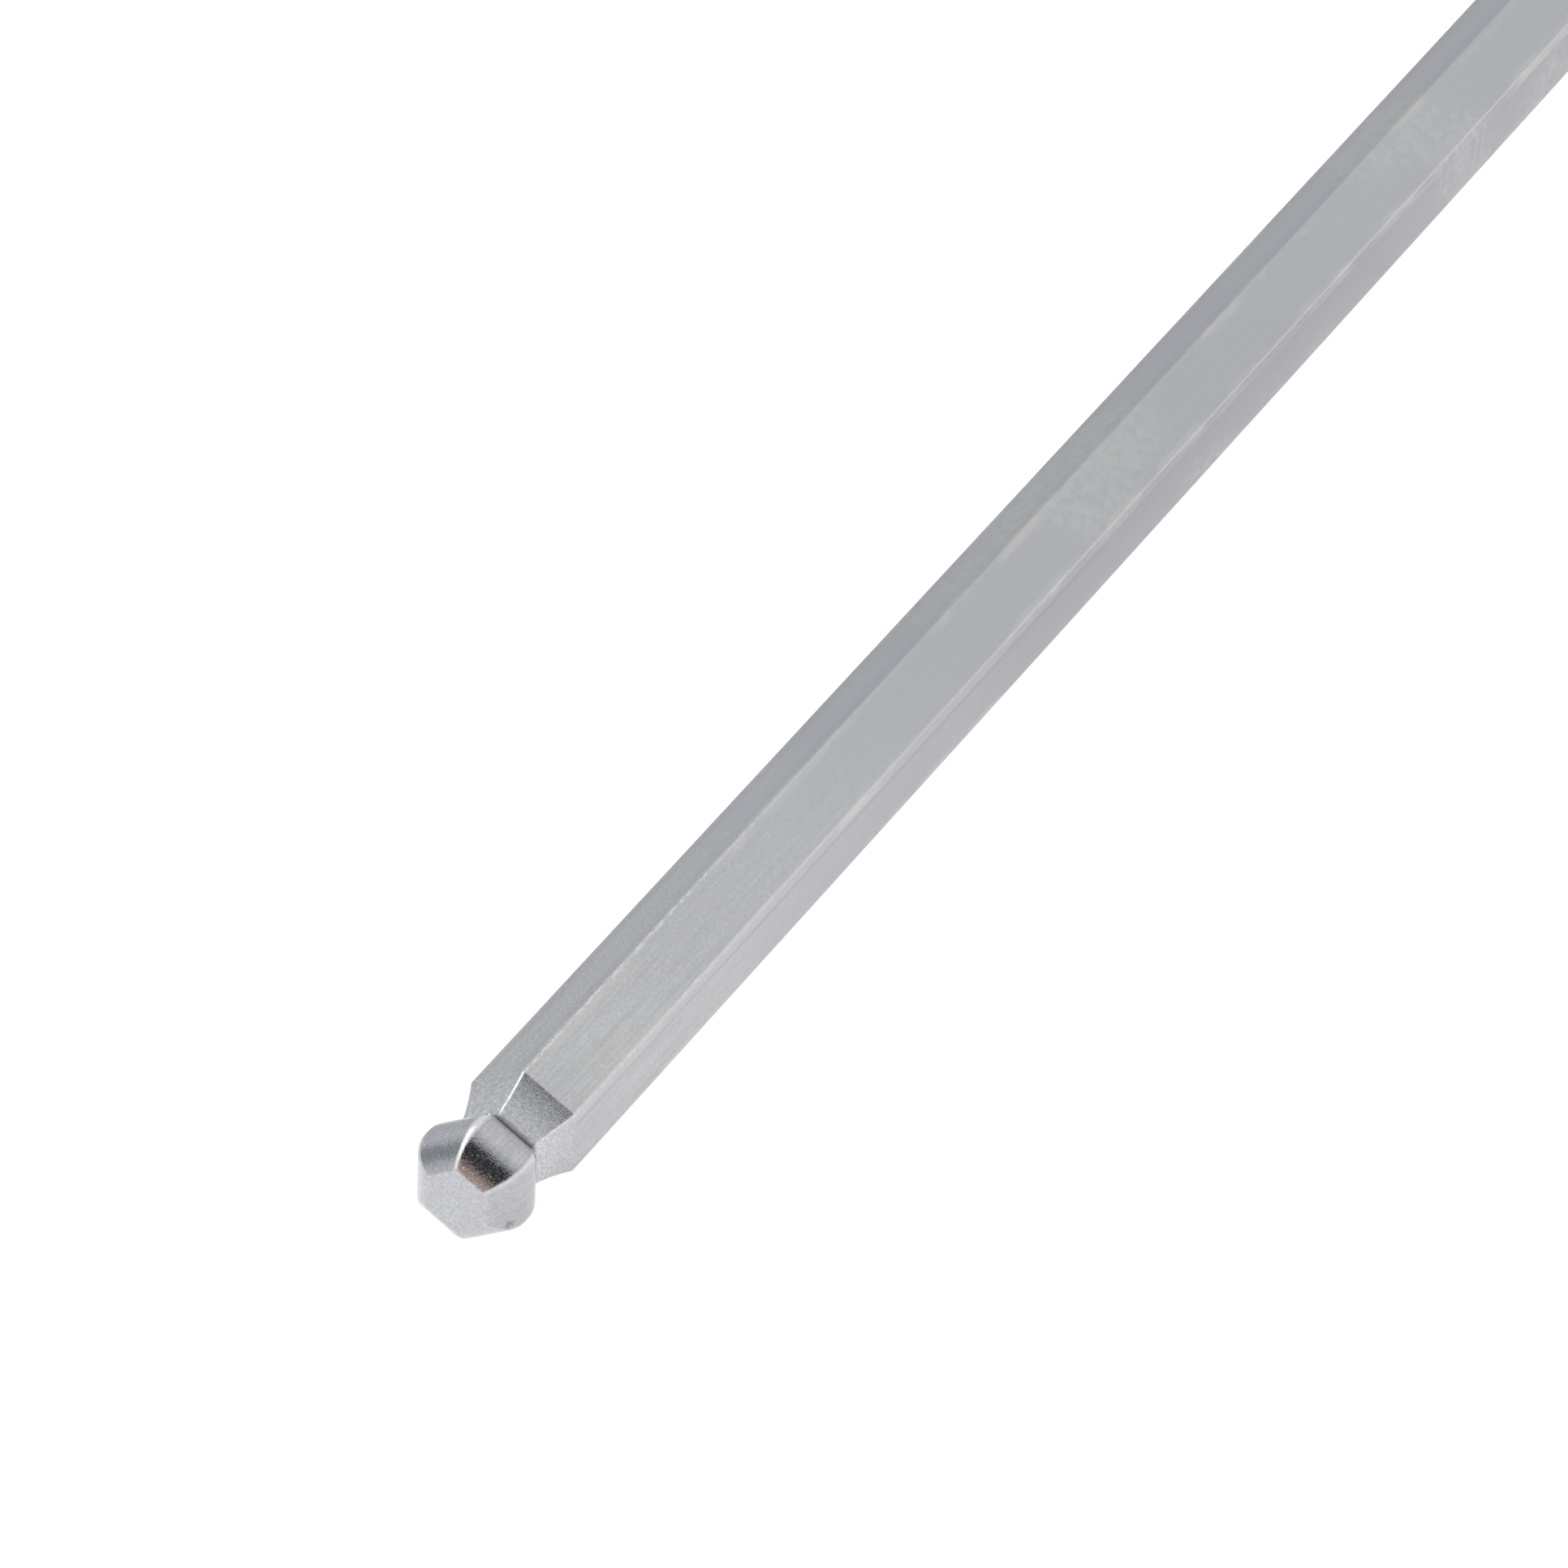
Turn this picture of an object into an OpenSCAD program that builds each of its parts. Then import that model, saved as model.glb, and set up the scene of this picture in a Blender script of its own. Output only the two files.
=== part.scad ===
// Ball-end hex key: one hexagonal bar, bent once, with a ball end on its long arm.
// Sizes are in millimetres. It lies on one flat: X runs along the long arm to the ball,
// Y along the short arm and Z is up. The origin is under the middle of its outer box.

/* [Bar] */
// Width across the flats, which is the socket size that it drives
key_size = 5; // [3:0.5:8]
// Width across the blunted corners, as a share of the width across the flats
corner_share = 1.136; // [1.12:0.002:1.15]

/* [Arms] */
// Length from the outer side of the short arm to the tip of the ball
long_arm = 160; // [90:5:240]
// Length from the outer side of the long arm to the end of the short arm
short_arm = 28; // [24:1:50]
// Radius of the bend along the middle of the bar
bend_r = 8.5; // [6:0.5:12]
// Depth of the chamfer round the end of the short arm
end_chamfer = 0.5; // [0.2:0.1:0.9]

/* [Ball end] */
// Slope at which the neck leaves the flats, in degrees
neck_slope = 23.6; // [20:0.2:26]
// Radius of the hollow that forms the neck, for each millimetre of key size
neck_arc = 2.5; // [2.2:0.1:3.2]
// Distance from the start of the neck to the crown of the ball, for each millimetre of key size
crown_start = 0.80; // [0.76:0.01:0.86]
// Length of the flat land on the crown, for each millimetre of key size
crown_land = 0.04; // [0.02:0.01:0.08]
// Radius of the ball behind its crown, for each millimetre of key size
back_arc = 0.35; // [0.3:0.01:0.4]
// Radius of the ball in front of its crown, for each millimetre of key size
front_arc = 0.45; // [0.42:0.01:0.5]
// Distance from the crown to the flat tip, for each millimetre of key size
tip_reach = 0.39; // [0.34:0.01:0.39]

/* [Hidden] */
$fn = 96;
half = key_size / 2;
corner_r = half * corner_share;
// How far a cut reaches past the metal
clear = 0.02 * key_size;

// Straight runs of the two arms, from the bend
arm_start = corner_r + bend_r;
arm_run = long_arm - arm_start;
short_run = short_arm - arm_start;

// Side view of the ball end, measured from the start of the neck
neck_r = neck_arc * key_size;
neck_x = neck_r * sin(neck_slope);
neck_y = half + neck_r * cos(neck_slope);
back_r = back_arc * key_size;
back_x = crown_start * key_size;
back_y = half - back_r;
front_r = front_arc * key_size;
front_x = back_x + crown_land * key_size;
front_y = half - front_r;
tip_x = front_x + tip_reach * key_size;

// Cross-section of the bar, with two flats level and the corners blunted
module bar_section() {
    intersection() {
        circle(r = key_size / sqrt(3), $fn = 6);
        circle(r = corner_r);
    }
}

// Side view of what is ground off one flat behind the crown: the hollow of the neck
module neck_cut() {
    difference() {
        intersection() {
            translate([neck_x, neck_y]) circle(r = neck_r);
            square([back_x, half + clear]);
        }
        translate([back_x, back_y]) circle(r = back_r);
    }
}

// Side view of what is ground off one flat in front of the crown
module front_cut() {
    difference() {
        translate([front_x, front_y])
            square([tip_x + clear - front_x, front_r + clear]);
        translate([front_x, front_y]) circle(r = front_r);
    }
}

// Straight long arm, ground six times round its end to leave the neck and the ball
module long_bar() {
    difference() {
        translate([arm_start, corner_r, half]) rotate([90, 0, 90])
            linear_extrude(height = arm_run) bar_section();
        translate([long_arm - tip_x, corner_r, half])
            for (turn = [0 : 60 : 300]) rotate([turn + 90, 0, 0])
                linear_extrude(height = 3 * key_size, center = true) {
                    neck_cut();
                    front_cut();
                }
    }
}

// Quarter turn that joins the arms
module bend() {
    translate([arm_start, arm_start, half]) rotate([0, 0, 180])
        rotate_extrude(angle = 90) translate([bend_r, 0]) bar_section();
}

// Short arm, with its end chamfered all round
module short_bar() {
    translate([corner_r, arm_start, half]) rotate([-90, 0, 0]) intersection() {
        linear_extrude(height = short_run) bar_section();
        rotate_extrude() polygon([
            [0, -clear],
            [corner_r + end_chamfer, -clear],
            [corner_r + end_chamfer, short_run - 2 * end_chamfer],
            [corner_r - end_chamfer, short_run],
            [0, short_run]
        ]);
    }
}

module hex_key() {
    color("#B4B7BC") translate([-long_arm / 2, -short_arm / 2, 0]) {
        long_bar();
        bend();
        short_bar();
    }
}

hex_key();
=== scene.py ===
"""A ball-end hex key lying on a pale floor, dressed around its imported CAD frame."""

import math

import bmesh
import bpy
import numpy as np
from mathutils import Matrix, Vector


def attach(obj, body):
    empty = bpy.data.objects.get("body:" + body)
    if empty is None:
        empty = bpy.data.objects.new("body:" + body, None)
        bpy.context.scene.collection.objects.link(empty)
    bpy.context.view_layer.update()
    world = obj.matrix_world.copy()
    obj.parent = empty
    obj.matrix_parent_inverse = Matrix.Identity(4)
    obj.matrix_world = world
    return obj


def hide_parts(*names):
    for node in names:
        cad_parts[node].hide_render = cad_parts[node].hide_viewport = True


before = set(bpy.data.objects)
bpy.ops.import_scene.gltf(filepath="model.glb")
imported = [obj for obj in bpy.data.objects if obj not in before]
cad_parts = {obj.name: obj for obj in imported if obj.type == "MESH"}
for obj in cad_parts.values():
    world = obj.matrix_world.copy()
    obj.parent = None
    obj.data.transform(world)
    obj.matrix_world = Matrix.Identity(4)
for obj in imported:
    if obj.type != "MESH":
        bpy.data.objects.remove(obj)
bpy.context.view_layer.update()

MM = 0.001

# The key's own sizes, in millimetres, as in its source
KEY_SIZE = 5.0
HALF = KEY_SIZE / 2
CORNER_REACH = HALF * 1.136
LONG_ARM = 160.0
SHORT_ARM = 28.0
BEND_R = 8.5

NECK_SLOPE = math.radians(23.6)
NECK_R = 2.5 * KEY_SIZE
BACK_R = 0.35 * KEY_SIZE
BACK_X = 0.80 * KEY_SIZE
FRONT_R = 0.45 * KEY_SIZE
FRONT_X = BACK_X + 0.04 * KEY_SIZE
TIP_X = FRONT_X + 0.39 * KEY_SIZE

# Sharp corner of a hexagon against its half width
SHARP = 2 / math.sqrt(3)
# Corner rounding that brings the sharp corner back to the CAD corner
BAR_ROUND = (SHARP * HALF - CORNER_REACH) / (SHARP - 1)

# Centre lines of the two arms, the middle of the bend, and lengths along the centre line
SHORT_X = -LONG_ARM / 2 + CORNER_REACH
LONG_Y = -SHORT_ARM / 2 + CORNER_REACH
BEND_X = SHORT_X + BEND_R
BEND_Y = LONG_Y + BEND_R
SHORT_RUN = SHORT_ARM / 2 - BEND_Y
BEND_RUN = BEND_R * math.pi / 2
LONG_START = SHORT_RUN + BEND_RUN
NECK_AT = LONG_START + LONG_ARM / 2 - TIP_X - BEND_X
WHOLE_LENGTH = (LONG_START + LONG_ARM / 2 - BEND_X) * MM

# The plain end: distance from its face and half width, with the chamfer's edges rounded
PLAIN_END = np.array([
    [0.0, 0.0], [0.0, 0.9], [0.0, 1.6], [0.0, 2.0], [0.0, 2.24], [0.01, 2.275],
    [0.035, 2.295], [0.30, 2.43], [0.36, 2.46], [0.44, 2.485], [0.60, HALF], [1.2, HALF]])

# How the ball end's outline is sampled and smoothed: its edges stay crisp, its groove is rounded
LEAD_IN = 3.0
PROFILE_STEP = 0.004
CRISP_WIDTH = 0.035
HOLLOW_WIDTH = 0.16
HOLLOW_REACH = 0.55
TURN_PER_RING = math.radians(1.6)
LENGTH_PER_RING = 0.07

# Corner rounding of the ground end: along the neck, at the ball's crown, and at its tip
NECK_ROUND = 0.16
CROWN_ROUND = 0.55
TIP_ROUND = 0.22
CROWN_ROUND_FROM = BACK_X - 0.9
# Largest rounding as a share of the half width
MOST_ROUND = 0.6

# Points on each rounded corner and each flat of a ring
CORNER_POINTS = 11
FLAT_POINTS = 7
# Rings on the short arm, the bend and the long arm, and the gap left beside the ends' own rings
SHORT_RINGS, BEND_RINGS, LONG_RINGS = 10, 73, 90
RING_GAP = 0.4

# Reach of the marks that the finish uses: their soft edges, the neck's end, and the painted shade
# in the groove
MARK_EDGE = 0.05
NECK_FADE = 0.2
NECK_LEAST = 0.35
GROOVE_SHADE_AHEAD = 0.12
GROOVE_SHADE_REACH = 0.42

# The steel's plain tone, how deep its relief is, and how far from the ball's tip the bar keeps its
# look near the ball and from where on it is evenly darker
STEEL_TONE = (0.572, 0.573, 0.606)
RELIEF_DEPTH = 0.018 * MM
NEAR_TO = 12 * MM
FAR_FROM = 48 * MM
# Middle and reach of the small dark scuff on the ball's front rim, on the unbent bar
SCUFF_PLACE = (177.85 * MM, 1.38 * MM, -1.98 * MM)
SCUFF_REACH = 0.34 * MM
ROOT_3 = math.sqrt(3)

# The floor's half width in metres, how matt white it is, and how brightly it is seen
FLOOR_REACH = 4.0
FLOOR_MATT = 0.35
FLOOR_GLOW = 0.88

# The room's tone, and its areas of other tones: azimuth, height, half width and half height in
# degrees, softness of the edge, and tone
ROOM_TONE = (1.0, 1.0, 0.99)
ROOM_AREAS = [
    (-112, 34, 61, 61, 0.28, (0.78, 0.79, 0.81)),
    (-143, 18, 15, 15, 0.60, (0.62, 0.635, 0.65)),
    (-78, 51, 17, 17, 0.43, (0.38, 0.40, 0.41)),
    (174, 14, 23, 23, 0.48, (0.85, 0.86, 0.87)),
    (103, 30, 13, 13, 0.33, (0.66, 0.69, 0.72)),
    (58, 31, 33, 18, 0.11, (0.045, 0.045, 0.045)),
    (24, 14, 13, 12, 0.42, (0.60, 0.42, 0.31)),
]

# The photograph's camera, fitted to the edges of the ball end and the bar, in metres
CAMERA_PLACE = (0.44890, 0.30422, 0.16859)
CAMERA_FORWARD = (-0.74855, -0.58815, -0.30620)
CAMERA_RIGHT = (-0.44972, 0.78965, -0.41737)
CAMERA_LENS = 280.8


def groove_root():
    """Where the neck's circle meets the ball's back circle: one of their two crossings."""
    neck_x, neck_y = neck_middle()
    dx, dy = neck_x - BACK_X, neck_y - (HALF - BACK_R)
    apart = math.hypot(dx, dy)
    along = (apart ** 2 + BACK_R ** 2 - NECK_R ** 2) / (2 * apart)
    aside = math.sqrt(BACK_R ** 2 - along ** 2)
    return (BACK_X + (along * dx - aside * dy) / apart,
            HALF - BACK_R + (along * dy + aside * dx) / apart)


def neck_middle():
    """Middle of the neck's hollow circle, which leaves the flat at the neck's slope."""
    return NECK_R * math.sin(NECK_SLOPE), HALF + NECK_R * math.cos(NECK_SLOPE)


ROOT_X, ROOT_Y = groove_root()


def arc(cx, cy, radius, start, end, count):
    """Points on a circle: centre plus radius times (cosine, sine) of evenly spaced angles."""
    angle = np.linspace(start, end, count)
    return np.stack([cx + radius * np.cos(angle), cy + radius * np.sin(angle)], 1)


def line(start, end, count):
    """Evenly spaced points from start to end."""
    share = np.linspace(0, 1, count)[:, None]
    return (1 - share) * np.array(start, float) + share * np.array(end, float)


def spaced(points, step):
    """The same polyline, resampled at equal steps of its length."""
    length = np.concatenate([[0], np.cumsum(np.hypot(*np.diff(points, axis=0).T))])
    keep = np.concatenate([[True], np.diff(length) > 1e-9])
    even = np.arange(0, length[-1], step)
    return np.stack([np.interp(even, length[keep], points[keep, i]) for i in (0, 1)], 1)


def softened(points, step, width):
    """Moving average of the points, weighted by a bell of the given width: it rounds corners."""
    reach = int(4 * width / step)
    bell = np.exp(-0.5 * (np.arange(-reach, reach + 1) * step / width) ** 2)
    padded = np.pad(points, ((reach, reach), (0, 0)), mode="reflect", reflect_type="odd")
    return np.stack([np.convolve(padded[:, i], bell / bell.sum(), "valid") for i in (0, 1)], 1)


def thinned(profile):
    """Keeps points of a fine polyline where its turning and its length have added up."""
    step = np.diff(profile, axis=0)
    heading = np.unwrap(np.arctan2(step[:, 1], step[:, 0]))
    turn = np.concatenate([[0], np.abs(np.diff(heading)), [0]])
    length = np.hypot(*np.vstack([step, step[-1]]).T)
    effort = np.cumsum(turn / TURN_PER_RING + length / LENGTH_PER_RING)
    keep = np.unique(np.searchsorted(effort, np.arange(effort[0], effort[-1], 1.0)))
    return profile[np.append(keep[keep < len(profile) - 1], len(profile) - 1)]


def ball_end_profile():
    """Half width of the hexagon against distance from the neck's start.

    A straight flat, then the neck's hollow arc, the ball's back arc, a short land, the
    ball's front arc and the flat tip, with each corner between them slightly rounded.
    """
    neck_x, neck_y = neck_middle()
    back_y, front_y = HALF - BACK_R, HALF - FRONT_R
    tip_rise = math.acos((TIP_X - FRONT_X) / FRONT_R)
    parts = [
        line((-LEAD_IN, HALF), (0, HALF), 60),
        arc(neck_x, neck_y, NECK_R, math.atan2(HALF - neck_y, -neck_x),
            math.atan2(ROOT_Y - neck_y, ROOT_X - neck_x), 400),
        arc(BACK_X, back_y, BACK_R, math.atan2(ROOT_Y - back_y, ROOT_X - BACK_X),
            math.pi / 2, 300),
        line((BACK_X, HALF), (FRONT_X, HALF), 20),
        arc(FRONT_X, front_y, FRONT_R, math.pi / 2, tip_rise, 300),
        line((TIP_X, front_y + FRONT_R * math.sin(tip_rise)), (TIP_X, 0), 60),
    ]
    fine = spaced(np.concatenate(parts), PROFILE_STEP)
    crisp = softened(fine, PROFILE_STEP, CRISP_WIDTH)
    hollow = softened(fine, PROFILE_STEP, HOLLOW_WIDTH)
    near_root = np.exp(-((fine[:, 0] - ROOT_X) / HOLLOW_REACH) ** 4)[:, None]
    profile = near_root * hollow + (1 - near_root) * crisp
    profile[:, 0] = np.minimum(profile[:, 0], TIP_X)
    return thinned(profile)


def corner_rounds(x, half_width):
    """Rounding of the six corners: the bar's own, and less where the ball end is ground."""
    bar_left = (SHARP * half_width - CORNER_REACH) / (SHARP - 1)
    front = np.clip((x - FRONT_X) / (TIP_X - FRONT_X), 0, 1)
    ball = CROWN_ROUND + (TIP_ROUND - CROWN_ROUND) * front
    ground = np.where(x < CROWN_ROUND_FROM, NECK_ROUND, ball)
    return np.minimum(np.maximum(bar_left, ground), MOST_ROUND * half_width + 1e-6)


def ring_points(half_width, rounding):
    """Rounded hexagons, one for each half width, as arrays of (across, up).

    Each corner is an arc of 60 degrees about a point that lies (half width - rounding)
    times 2 over root 3 from the middle, and straight flats join the arcs.
    """
    turn = np.radians(np.arange(6) * 60)
    fan = np.radians(np.linspace(-30, 30, CORNER_POINTS))
    centre = ((half_width - rounding) * SHARP)[:, None, None]
    angle = turn[None, :, None] + fan[None, None, :]
    radius = rounding[:, None, None]
    across = centre * np.cos(turn)[None, :, None] + radius * np.cos(angle)
    up = centre * np.sin(turn)[None, :, None] + radius * np.sin(angle)
    corner = np.stack([across, up], -1)
    share = (np.arange(1, FLAT_POINTS + 1) / (FLAT_POINTS + 1))[None, None, :, None]
    after = np.roll(corner[:, :, :1], -1, axis=1)
    flat = (1 - share) * corner[:, :, -1:] + share * after
    ring = np.concatenate([corner, flat], 2)
    return ring.reshape(len(half_width), -1, 2)


def key_stations():
    """Length along the bar, half width and corner rounding at each ring, from end to end.

    Both ends have their rings where their outlines turn. Between them the rings of the short
    arm, the bend and the long arm are evenly spaced.
    """
    short_from = PLAIN_END[-1, 0] + 2 * RING_GAP
    short = line((short_from, HALF), (SHORT_RUN - RING_GAP / 2, HALF), SHORT_RINGS)
    bend = line((SHORT_RUN, HALF), (LONG_START, HALF), BEND_RINGS)
    straight = line((LONG_START + RING_GAP, HALF), (NECK_AT - LEAD_IN - RING_GAP, HALF), LONG_RINGS)
    end = ball_end_profile()
    outline = np.concatenate([PLAIN_END, short, bend, straight, end + [NECK_AT, 0]])
    bare = len(short) + len(bend) + len(straight)
    rounding = np.concatenate([np.minimum(BAR_ROUND, 0.3 * PLAIN_END[:, 1] + 1e-6),
                               np.full(bare, BAR_ROUND), corner_rounds(end[:, 0], end[:, 1])])
    return outline[:, 0], outline[:, 1], rounding


def ring_marks(place):
    """Marks of the ground end, the neck and the painted shade at the groove root at each ring, and
    of all but the ends.

    The neck's mark grows from the neck's start to the groove. All marks have soft edges.
    """
    x = place - NECK_AT
    ground = np.clip((x + MARK_EDGE) / (2 * MARK_EDGE), 0, 1)
    growing = NECK_LEAST + (1 - NECK_LEAST) * x / ROOT_X
    neck = ground * np.clip((ROOT_X - x) / NECK_FADE, 0, 1) * growing
    # The root mark is painted shade: the groove's root, where the ball's back hides the neck, is
    # darkened
    root = np.exp(-((x - ROOT_X - GROOVE_SHADE_AHEAD) / GROOVE_SHADE_REACH) ** 4)
    off_ends = np.minimum(place - place[0], place[-1] - place)
    return {"ground_end": ground, "neck": neck, "root": root}, np.clip(off_ends / MARK_EDGE, 0, 1)


def centre_line(place):
    """Point and inward direction of the bent centre line at each length along it.

    The short arm runs towards -Y, the bend is a quarter circle, and the long arm runs
    towards +X. The inward direction points to the inner side of the bend.
    """
    turned = np.clip((place - SHORT_RUN) / BEND_R, 0, math.pi / 2)
    before = np.minimum(place, SHORT_RUN)
    after = np.maximum(place - LONG_START, 0)
    inward = np.stack([np.cos(turned), np.sin(turned)], 1)
    x = BEND_X - BEND_R * np.cos(turned) + after
    y = BEND_Y - BEND_R * np.sin(turned) + (SHORT_RUN - before)
    return np.stack([x, y], 1), inward


def key_mesh():
    """The whole key as rings carried along its bent centre line and closed at both ends.

    Its named attributes hold each point's place on the unbent bar, how far it is round a
    corner, how far it is from the nearest corner, and the marks of the ball end.
    """
    place, width, rounding = key_stations()
    ring = ring_points(width, rounding)
    middle, inward = centre_line(place)
    count, around = ring.shape[:2]
    flat_xy = middle[:, None, :] + ring[:, :, :1] * inward[:, None, :]
    points = np.concatenate([flat_xy, HALF + ring[:, :, 1:]], -1).reshape(-1, 3) * MM
    row = np.arange(count - 1)[:, None] * around
    col = np.arange(around)[None, :]
    following = (col + 1) % around
    quads = np.stack([row + col, row + around + col, row + around + following,
                      row + following], -1).reshape(-1, 4)
    mesh = bpy.data.meshes.new("key")
    mesh.from_pydata(points.tolist(), [], quads.tolist())
    unbent = np.concatenate([np.repeat(place[:, None, None], around, 1), ring], -1)
    store(mesh, "bar_place", "FLOAT_VECTOR", unbent.reshape(-1, 3) * MM)
    marks, off_ends = ring_marks(place)
    for name, values in marks.items():
        store(mesh, name, "FLOAT", np.repeat(values, around))
    bent = np.cos(np.radians(np.linspace(-90, 90, CORNER_POINTS)))
    store(mesh, "ridge", "FLOAT", np.outer(off_ends, around_ring(bent, np.zeros(FLAT_POINTS))))
    step = np.arange(1, FLAT_POINTS + 1)
    inner = np.minimum(step, step[::-1]) / (FLAT_POINTS + 1)
    store(mesh, "from_ridge", "FLOAT", np.tile(around_ring(np.zeros(CORNER_POINTS), inner), count))
    mesh.polygons.foreach_set("use_smooth", np.ones(len(mesh.polygons), bool))
    mesh.update()
    key = bpy.data.objects.new("key", mesh)
    bpy.context.scene.collection.objects.link(key)
    close_ends(key)
    return key


def around_ring(on_corner, on_flat):
    """One value for each point of a ring, from those of one corner and of one flat."""
    return np.tile(np.concatenate([on_corner, on_flat]), 6)


def store(mesh, name, kind, values):
    """Writes one value for each point into a named attribute."""
    layer = mesh.attributes.new(name, kind, "POINT")
    field = "vector" if kind == "FLOAT_VECTOR" else "value"
    layer.data.foreach_set(field, np.ascontiguousarray(values, dtype=np.float32).ravel())


def close_ends(key):
    """Merges each end's shrunken ring into one middle point and turns the faces outwards."""
    work = bmesh.new()
    work.from_mesh(key.data)
    bmesh.ops.remove_doubles(work, verts=work.verts, dist=1e-7)
    bmesh.ops.dissolve_degenerate(work, edges=work.edges, dist=1e-9)
    bmesh.ops.recalc_face_normals(work, faces=work.faces)
    work.to_mesh(key.data)
    work.free()


class Tree:
    """Short names for adding and joining the shader nodes of one material or world."""

    def __init__(self, owner):
        owner.use_nodes = True
        self.tree = owner.node_tree
        self.tree.nodes.clear()

    def feed(self, socket, value):
        """Joins a node's value to the socket, or sets it. Three numbers make an opaque colour."""
        if isinstance(value, bpy.types.NodeSocket):
            self.tree.links.new(value, socket)
        elif socket.type == "RGBA":
            socket.default_value = (*value, 1)
        else:
            socket.default_value = value

    def add(self, kind, settings=None, **inputs):
        """A new node with its settings and its named inputs."""
        node = self.tree.nodes.new(kind)
        for name, value in (settings or {}).items():
            setattr(node, name, value)
        for name, value in inputs.items():
            self.feed(node.inputs[name.replace("_", " ")], value)
        return node

    def math(self, operation, first, second=0.0):
        """One math node."""
        node = self.add("ShaderNodeMath", {"operation": operation})
        self.feed(node.inputs[0], first)
        self.feed(node.inputs[1], second)
        return node.outputs[0]

    def product(self, *factors):
        """All the factors multiplied together."""
        result = factors[0]
        for factor in factors[1:]:
            result = self.math("MULTIPLY", result, factor)
        return result

    def total(self, *terms):
        """All the terms added up."""
        result = terms[0]
        for term in terms[1:]:
            result = self.math("ADD", result, term)
        return result

    def opposite(self, value):
        """One less the value."""
        return self.math("SUBTRACT", 1.0, value)

    def dot(self, first, second):
        """Dot product of two vectors."""
        node = self.add("ShaderNodeVectorMath", {"operation": "DOT_PRODUCT"})
        self.feed(node.inputs[0], first)
        self.feed(node.inputs[1], second)
        return node.outputs["Value"]

    def spread(self, value, low, high, to_low=0.0, to_high=1.0, smooth=False):
        """The value from low to high, carried over to the range from to_low to to_high."""
        kind = "SMOOTHSTEP" if smooth else "LINEAR"
        node = self.add("ShaderNodeMapRange", {"interpolation_type": kind})
        for index, number in enumerate((value, low, high, to_low, to_high)):
            self.feed(node.inputs[index], number)
        return node.outputs[0]

    def stripe(self, value, middle, inner, outer):
        """One where the value is within inner of the middle, and nothing beyond outer of it."""
        apart = self.math("ABSOLUTE", self.math("SUBTRACT", value, middle))
        return self.spread(apart, inner, outer, 1.0, 0.0, smooth=True)

    def spot(self, place, middle, reach):
        """One near the middle, falling to nothing at the distance reach from it."""
        apart = self.add("ShaderNodeVectorMath", {"operation": "DISTANCE"})
        self.feed(apart.inputs[0], place)
        self.feed(apart.inputs[1], middle)
        return self.spread(apart.outputs["Value"], reach / 3, reach, 1.0, 0.0, smooth=True)

    def noise(self, vector, scale, detail, rough, stretch=None):
        """Soft noise, drawn out along an axis where the stretch is less than one."""
        if stretch:
            vector = self.add("ShaderNodeMapping", Vector=vector, Scale=stretch).outputs[0]
        node = self.add("ShaderNodeTexNoise", Vector=vector, Scale=scale, Detail=detail,
                        Roughness=rough)
        return node.outputs["Fac"]

    def clouds(self, vector, scale, detail, rough, low, high, stretch=None, smooth=True):
        """Noise cut down to its brighter parts: nothing below low and one above high."""
        noise = self.noise(vector, scale, detail, rough, stretch)
        return self.spread(noise, low, high, smooth=smooth)

    def blend(self, share, first, second):
        """The first colour, with the second one laid over it by its share."""
        node = self.add("ShaderNodeMix", {"data_type": "RGBA"})
        self.feed(node.inputs["Factor"], share)
        self.feed(node.inputs["A"], first)
        self.feed(node.inputs["B"], second)
        return node.outputs["Result"]

    def end(self, kind, shader):
        """Joins the finished shader to the tree's output."""
        self.feed(self.add(kind).inputs["Surface"], shader.outputs[0])


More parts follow.
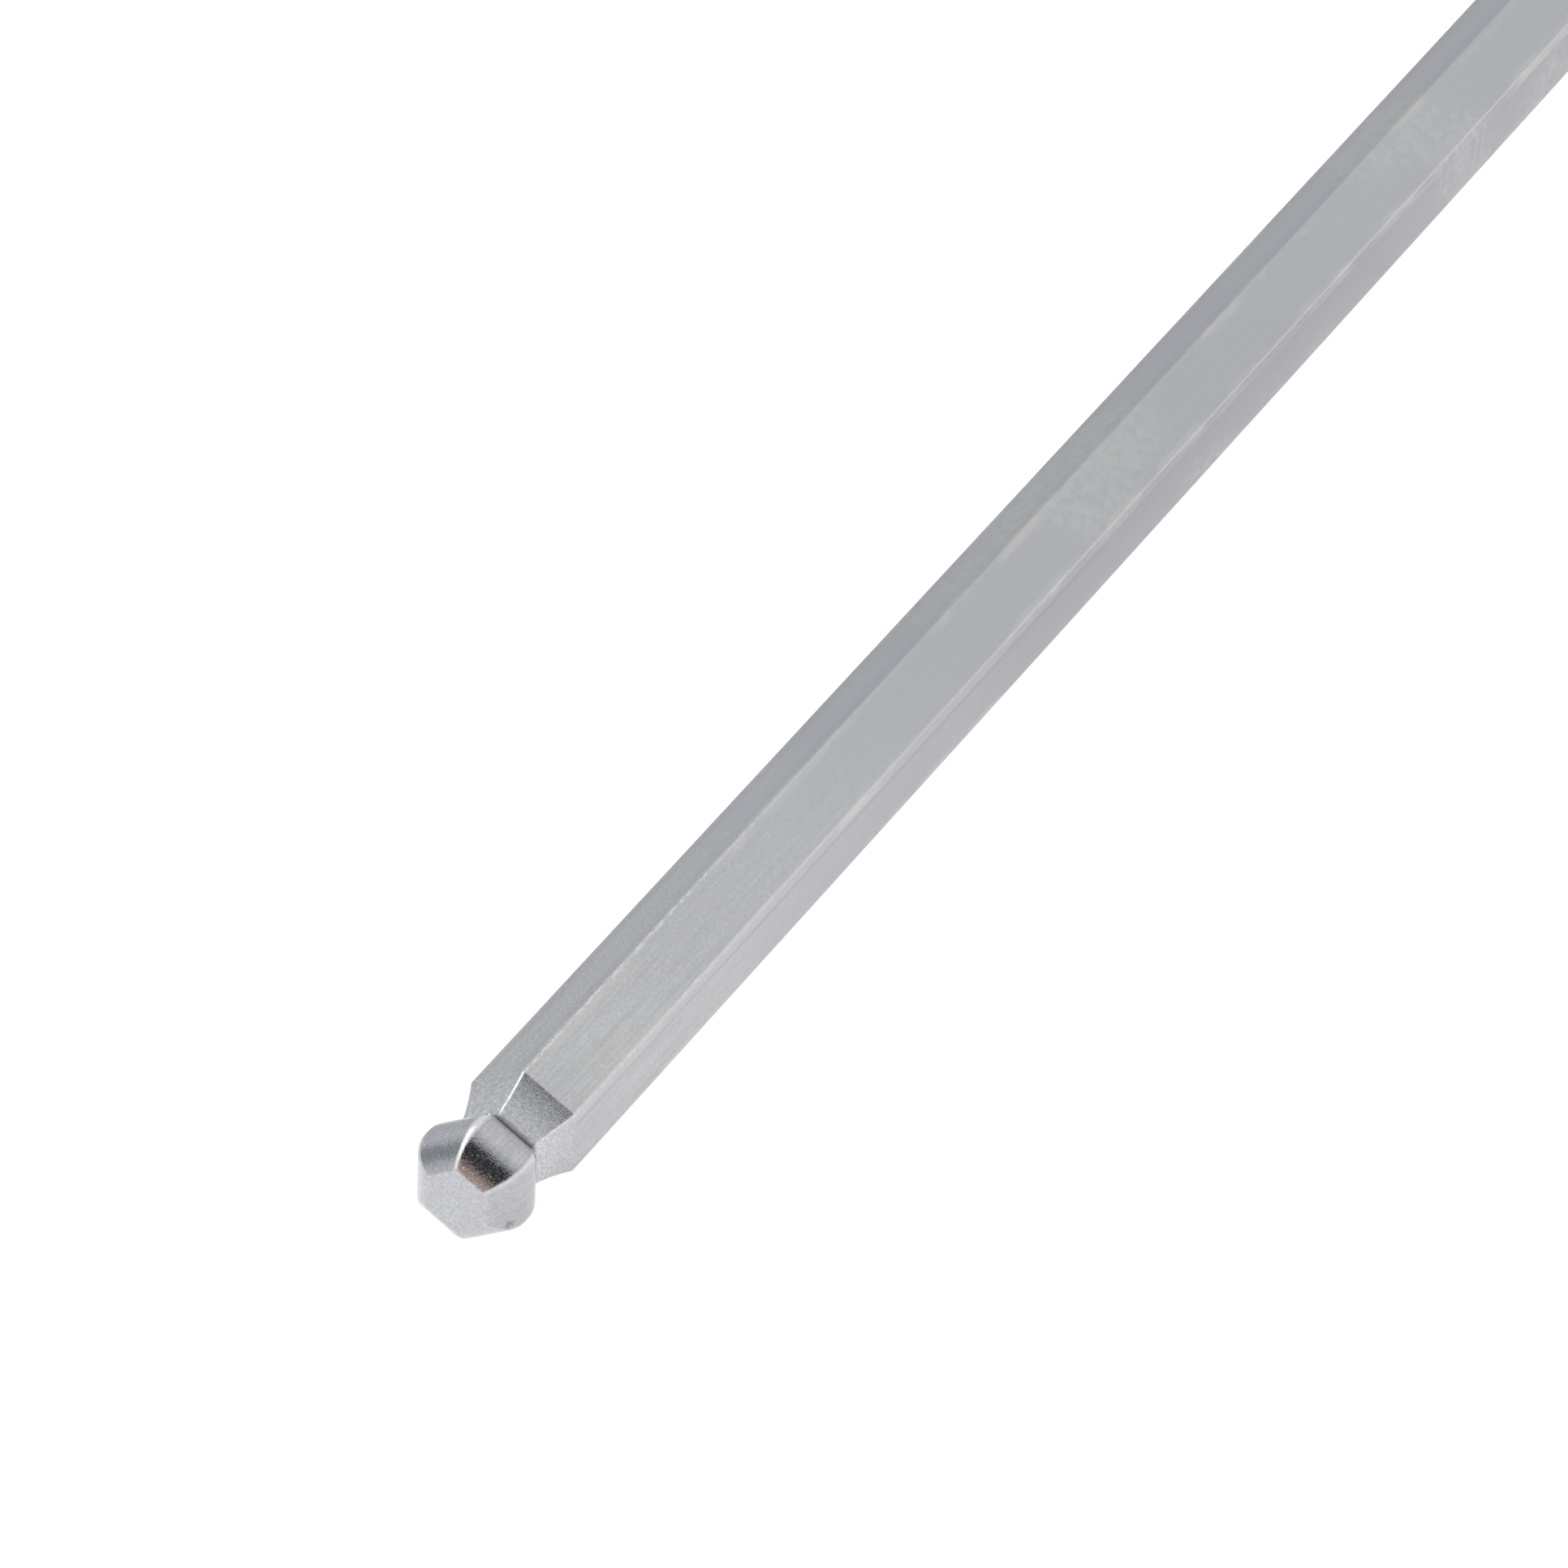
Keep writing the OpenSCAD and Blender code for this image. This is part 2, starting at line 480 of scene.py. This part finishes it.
class SteelMap:
    """Where the parts and marks of the steel lie, as shader values that run from 0 to 1.

    Lengths are on the unbent bar: to_tip is what is left along it to the ball's tip, across
    points towards the inside of the bend, and up starts at the middle of the bar.
    """

    def __init__(self, t):
        self.t = t
        self.place = self.stored("bar_place", "Vector")
        self.ridge = self.stored("ridge")
        self.from_ridge = self.stored("from_ridge")
        self.ground = self.stored("ground_end")
        # Painted shade in the groove's root
        self.root = self.stored("root")
        self.neck = self.stored("neck")
        split = t.add("ShaderNodeSeparateXYZ", Vector=self.place)
        along = split.outputs["X"]
        self.across, self.up = split.outputs["Y"], split.outputs["Z"]
        self.to_tip = t.math("SUBTRACT", WHOLE_LENGTH, along)
        self.off_tip = t.spread(self.to_tip, 0.05 * MM, 0.2 * MM)
        # The drawn bar, without the ground end and the plain end's face
        self.body = t.product(t.opposite(self.ground), t.spread(along, 0.6 * MM, 1.2 * MM))
        self.top = self.top_flat()
        self.far = t.spread(self.to_tip, NEAR_TO, FAR_FROM, smooth=True)
        self.near = t.opposite(self.far)
        # Large patches here and there, and all that is near the ball
        self.worn = t.math("MAXIMUM", t.clouds(self.place, 75, 0.0, 0.5, 0.48, 0.62), self.near)
        self.grain = t.noise(self.place, 15000, 1.0, 0.6)
        self.coarse = t.noise(self.place, 6800, 2.0, 0.7)
        self.lines = t.noise(self.place, 6500, 3.0, 0.6, (0.02, 1, 1))

    def stored(self, name, output="Fac"):
        """An attribute that the mesh holds."""
        return self.t.add("ShaderNodeAttribute", {"attribute_name": name}).outputs[output]

    def by_part(self, bar, ball):
        """A number that is bar on the drawn bar and ball on the ground end."""
        return self.t.spread(self.ground, 0.0, 1.0, bar, ball)

    def by_distance(self, near, far):
        """A number that is near beside the ball and far along the rest of the bar."""
        return self.t.spread(self.far, 0.0, 1.0, near, far)

    def top_flat(self):
        """The level flat on top of the bar, without the tip's face."""
        aside = self.t.product(self.t.math("ABSOLUTE", self.across), ROOT_3)
        inside = self.t.math("SUBTRACT", self.up, aside)
        return self.t.product(self.t.spread(inside, -0.02 * MM, 0.04 * MM), self.off_tip)

    def low_flat(self):
        """The lower flat on the inner side of the bend."""
        below = self.t.product(self.up, -1.0)
        beside = self.t.total(self.up, self.t.product(self.across, ROOT_3))
        return self.t.spread(self.t.math("MINIMUM", below, beside), -0.02 * MM, 0.04 * MM)


def broad_tints(t, m):
    """Long warm patches on the upper side near the ball, and long cool ones all over."""
    warm = t.product(m.worn, t.clouds(m.place, 420, 3.0, 0.6, 0.48, 0.62, (0.35, 1, 1)),
                     t.spread(m.to_tip, NEAR_TO, 20 * MM, 1.0, 0.15, smooth=True),
                     t.spread(m.up, -0.3 * MM, 0.3 * MM), m.by_part(1.0, 0.06))
    cool = t.product(t.clouds(m.place, 210, 2.0, 0.5, 0.48, 0.68, (0.30, 1, 1)),
                     m.by_part(0.62, 0.14))
    return [(warm, (0.585, 0.590, 0.545)), (cool, (0.545, 0.562, 0.590))]


def grain_and_lines(t, m):
    """Fine and coarse dark grain, dark draw lines along the bar, painted glints as bright specks on
    the top flat, and painted shade along the top flat's edges.
    """
    fading = t.product(m.by_distance(1.0, 0.3), m.by_part(1.0, 0.72))
    grain = t.product(t.spread(m.grain, 0.35, 0.65, 0.0, 0.24), fading)
    coarse = t.product(t.spread(m.coarse, 0.40, 0.60, 0.0, 0.46), fading)
    lined = t.clouds(m.place, 160, 1.0, 0.5, 0.42, 0.6, (0.5, 1, 1))
    lines = t.product(t.spread(m.lines, 0.35, 0.7, 0.0, 0.62), t.math("MAXIMUM", lined, m.worn),
                      t.spread(m.to_tip, NEAR_TO, 34 * MM, 1.0, 0.25, smooth=True))
    # Painted glints: bright specks on the top flat only
    painted_glints = t.product(m.top, t.clouds(m.place, 7600, 1.0, 0.7, 0.55, 0.63, smooth=False),
                       t.total(t.product(m.near, m.by_part(0.42, 0.22)), t.product(m.neck, 0.45)))
    # Painted shade: the top flat darker along both its edges
    shade = t.product(m.top, m.body,
                      t.spread(m.from_ridge, 0.10, 0.30, 1.0, 0.0, smooth=True), 0.22)
    return [(grain, (0.36, 0.36, 0.38)), (coarse, (0.38, 0.38, 0.40)), (lines, (0.36, 0.36, 0.37)),
            (painted_glints, (0.86, 0.88, 0.90)), (shade, (0.28, 0.30, 0.33))]


def ridges_and_neck(t, m):
    """Painted highlight along every ridge, brighter on the ground end's upper ridges, painted
    glints on the upper ridges near the ball, a paler bar near the ball, and the neck's paler grainy
    faces.
    """
    # Painted highlight on the ground end's ridges, stronger towards the upper side
    painted_ridge_highlight = t.product(m.ridge, m.ground, t.spread(m.up, 0.4 * MM, 1.4 * MM, 0.12, 0.62))
    # Painted glints: broken bright dots on the upper ridges near the ball
    painted_ridge_glints = t.product(m.ridge, m.near, m.body, t.spread(m.up, 1.0 * MM, 2.0 * MM, 0.10, 0.45),
                       t.clouds(m.place, 5200, 2.0, 0.6, 0.47, 0.57, (0.5, 1, 1), smooth=False))
    # Painted highlight: every ridge a little paler
    return [(t.product(m.ridge, m.by_distance(0.12, 0.18)), (0.78, 0.78, 0.80)),
            (t.product(m.neck, 0.64), (0.80, 0.80, 0.81)),
            (painted_ridge_highlight, (0.92, 0.92, 0.93)),
            (painted_ridge_glints, (0.90, 0.94, 0.96)),
            (t.product(m.near, m.body, 0.13), (0.88, 0.88, 0.88)),
            (t.product(m.neck, t.spread(m.coarse, 0.42, 0.58), 0.46), (0.26, 0.26, 0.28))]


def far_tone_and_painted_low_shade(t, m):
    """The darker bar away from the ball, and painted shade on the low flat on the inner side."""
    # Painted shade on the bar's low flat, deeper away from the ball and towards the flat's upper
    # edge
    bar = t.product(m.by_distance(0.18, 0.78), m.body, t.spread(m.up, -HALF * MM, 0.0, 0.25, 1.0))
    # Painted shade on the ball end's low facet
    ball = t.product(t.math("SUBTRACT", m.ground, m.neck), m.off_tip, 0.28)
    low = t.product(m.low_flat(), t.total(bar, ball))
    # The painted shade turns deeper over part of the bar's length
    dim = t.product(t.spread(m.to_tip, 43 * MM, 55 * MM, smooth=True),
                    t.spread(m.to_tip, 76 * MM, 95 * MM, 1.0, 0.45, smooth=True))
    return [(t.product(m.far, 0.57), (0.412, 0.420, 0.443)),
            (low, t.blend(dim, (0.366, 0.355, 0.389), (0.290, 0.280, 0.308)))]


def side_ridges(t, m):
    """A painted highlight band just under each side ridge, and a thin painted shade line below it.
    """
    # Painted highlight: a pale band under each side ridge
    painted_highlight_band = t.product(t.stripe(m.up, -0.16 * MM, 0.14 * MM, 0.34 * MM), m.body,
                     t.spread(m.to_tip, 55 * MM, 100 * MM, 1.0, 0.45, smooth=True),
                     m.by_distance(0.04, 0.12))
    # Painted shade: a thin dark line below the band
    painted_shade_line = t.product(t.stripe(m.up, -0.52 * MM, 0.03 * MM, 0.12 * MM), m.body,
                       t.spread(m.to_tip, 50 * MM, 75 * MM, 1.0, 0.0, smooth=True), 0.26)
    return [(painted_highlight_band, (0.70, 0.70, 0.72)), (painted_shade_line, (0.26, 0.26, 0.28))]


def pale_patches(t, m):
    """Yellowish blotches beside the ridges, and mottled patches right across the bar."""
    beside = t.spread(m.from_ridge, 0.02, 0.12, 1.0, 0.0, smooth=True)
    blotches = t.product(t.clouds(m.place, 900, 3.0, 0.6, 0.47, 0.66, (0.22, 1, 1)), beside,
                         m.body, 0.42)
    patches = t.product(t.clouds(m.place, 170, 0.0, 0.5, 0.56, 0.68, (0.6, 1, 1)), m.body,
                        t.clouds(m.place, 1900, 2.0, 0.6, 0.34, 0.68), 0.32)
    return [(blotches, (0.63, 0.63, 0.57)), (patches, (0.60, 0.61, 0.56))]


def dark_spots(t, m):
    """The small brown scuff on the ball's front rim, and near-black painted shade in the groove's
    root.
    """
    scuff = t.product(t.spot(m.place, SCUFF_PLACE, SCUFF_REACH), 0.60,
                      t.clouds(m.place, 7800, 1.0, 0.6, 0.44, 0.54, (1, 1, 0.5), smooth=False))
    # The root's near-black tone is painted shade in the groove
    return [(scuff, (0.22, 0.16, 0.13)), (t.product(m.root, 0.9), (0.06, 0.06, 0.07))]


def steel_relief(t, m):
    """Small pits, fine grain and draw lines, for the bump."""
    pits = t.clouds(m.place, 12000, 0.0, 0.5, 0.64, 0.80, smooth=False)
    return t.total(t.product(pits, m.by_distance(1.0, 0.25), m.by_part(-0.4, -0.15)),
                   t.product(m.grain, m.by_part(0.5, 0.55)), t.product(m.lines, 0.25))


def plated_steel():
    """Satin plated steel: dull and even on the bar, sharper and brighter at the ground ball end.

    Its colour is one plain tone with each kind of mark laid over it in turn, painted highlights,
    glints and shade among them.
    """
    material = bpy.data.materials.new("plated_steel")
    t = Tree(material)
    m = SteelMap(t)
    colour = STEEL_TONE
    for layer in (broad_tints, grain_and_lines, ridges_and_neck, far_tone_and_painted_low_shade, side_ridges,
                  pale_patches, dark_spots):
        for share, tone in layer(t, m):
            colour = t.blend(share, colour, tone)
    rough = t.total(t.spread(m.grain, 0.3, 0.7, 0.20, 0.32), t.product(m.neck, 0.20),
                    m.by_part(0.12, -0.10))
    bump = t.add("ShaderNodeBump", Strength=1.0, Distance=RELIEF_DEPTH, Height=steel_relief(t, m))
    steel = t.add("ShaderNodeBsdfPrincipled", Base_Color=colour, Roughness=rough, Metallic=1.0,
                  Normal=bump.outputs[0])
    t.end("ShaderNodeOutputMaterial", steel)
    return material


def pale_floor():
    """A wide matt white floor that shows white and keeps the key's soft shadow."""
    mesh = bpy.data.meshes.new("floor")
    corners = [(-FLOOR_REACH, -FLOOR_REACH, 0), (FLOOR_REACH, -FLOOR_REACH, 0),
               (FLOOR_REACH, FLOOR_REACH, 0), (-FLOOR_REACH, FLOOR_REACH, 0)]
    mesh.from_pydata(corners, [], [(0, 1, 2, 3)])
    floor = bpy.data.objects.new("floor", mesh)
    bpy.context.scene.collection.objects.link(floor)
    material = bpy.data.materials.new("floor_white")
    t = Tree(material)
    path = t.add("ShaderNodeLightPath")
    seen = t.math("MAXIMUM", path.outputs["Is Camera Ray"],
                  t.math("MAXIMUM", path.outputs["Is Glossy Ray"],
                         path.outputs["Is Transmission Ray"]))
    matt = t.add("ShaderNodeBsdfDiffuse", Color=(FLOOR_MATT, FLOOR_MATT, FLOOR_MATT))
    glow = t.add("ShaderNodeEmission", Color=(1, 1, 1), Strength=t.product(seen, FLOOR_GLOW))
    both = t.add("ShaderNodeAddShader")
    t.feed(both.inputs[0], matt.outputs[0])
    t.feed(both.inputs[1], glow.outputs[0])
    t.end("ShaderNodeOutputMaterial", both)
    mesh.materials.append(material)


def studio_world():
    """A pale room: an even light tone with soft oval areas of other tones laid over it.

    An area's oval distance is the length of (sideways part / sine of its half width, upward
    part / sine of its half height) of the seen direction, and its edge a smooth step on it.
    """
    world = bpy.data.worlds.new("studio")
    bpy.context.scene.world = world
    t = Tree(world)
    toward = t.add("ShaderNodeTexCoord").outputs["Generated"]
    colour = ROOM_TONE
    for azimuth, height, wide, tall, soft, tone in ROOM_AREAS:
        turn, lift = math.radians(azimuth), math.radians(height)
        ahead = Vector((math.cos(lift) * math.cos(turn), math.cos(lift) * math.sin(turn),
                        math.sin(lift)))
        side = Vector((-math.sin(turn), math.cos(turn), 0))
        across = t.dot(toward, side / math.sin(math.radians(wide)))
        above = t.dot(toward, ahead.cross(side) / math.sin(math.radians(tall)))
        oval = t.math("SQRT", t.total(t.product(across, across), t.product(above, above)))
        edge = t.spread(oval, 1 - soft, 1 + soft, 1.0, 0.0, smooth=True)
        facing = t.math("GREATER_THAN", t.dot(toward, ahead), 0.0)
        colour = t.blend(t.product(edge, facing), colour, tone)
    t.end("ShaderNodeOutputWorld", t.add("ShaderNodeBackground", Color=colour, Strength=1.0))


def soft_lamp(name, place, aim, width, height, watts):
    """A rectangular soft box at place, turned to face aim."""
    lamp = bpy.data.lights.new(name, "AREA")
    lamp.shape = "RECTANGLE"
    lamp.size, lamp.size_y = width, height
    lamp.energy = watts
    holder = bpy.data.objects.new(name, lamp)
    holder.location = place
    direction = Vector(aim) - Vector(place)
    holder.rotation_euler = direction.to_track_quat("-Z", "Y").to_euler()
    holder.visible_camera = False
    bpy.context.scene.collection.objects.link(holder)


def photo_camera():
    """The photograph's view: a long lens beyond the ball, low and well to the long arm's side."""
    camera = bpy.data.cameras.new("camera")
    camera.sensor_width = 36.0
    camera.lens = CAMERA_LENS
    camera.clip_start = 0.01
    camera.clip_end = 50.0
    holder = bpy.data.objects.new("camera", camera)
    forward = Vector(CAMERA_FORWARD).normalized()
    up = Vector(CAMERA_RIGHT).cross(forward).normalized()
    right = forward.cross(up)
    turn = Matrix((right, up, -forward)).transposed()
    holder.matrix_world = Matrix.Translation(CAMERA_PLACE) @ turn.to_4x4()
    bpy.context.scene.collection.objects.link(holder)
    bpy.context.scene.camera = holder


photo_camera()
pale_floor()
studio_world()
soft_lamp("top_lamp", place=(0.163, 0.04, 0.48), aim=(0.163, 0.04, 0.0), width=0.73, height=0.26,
          watts=0.56)

key = key_mesh()
key.data.materials.append(plated_steel())
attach(key, "root")
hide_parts("hex_key")

bpy.context.scene.view_settings.view_transform = "Standard"
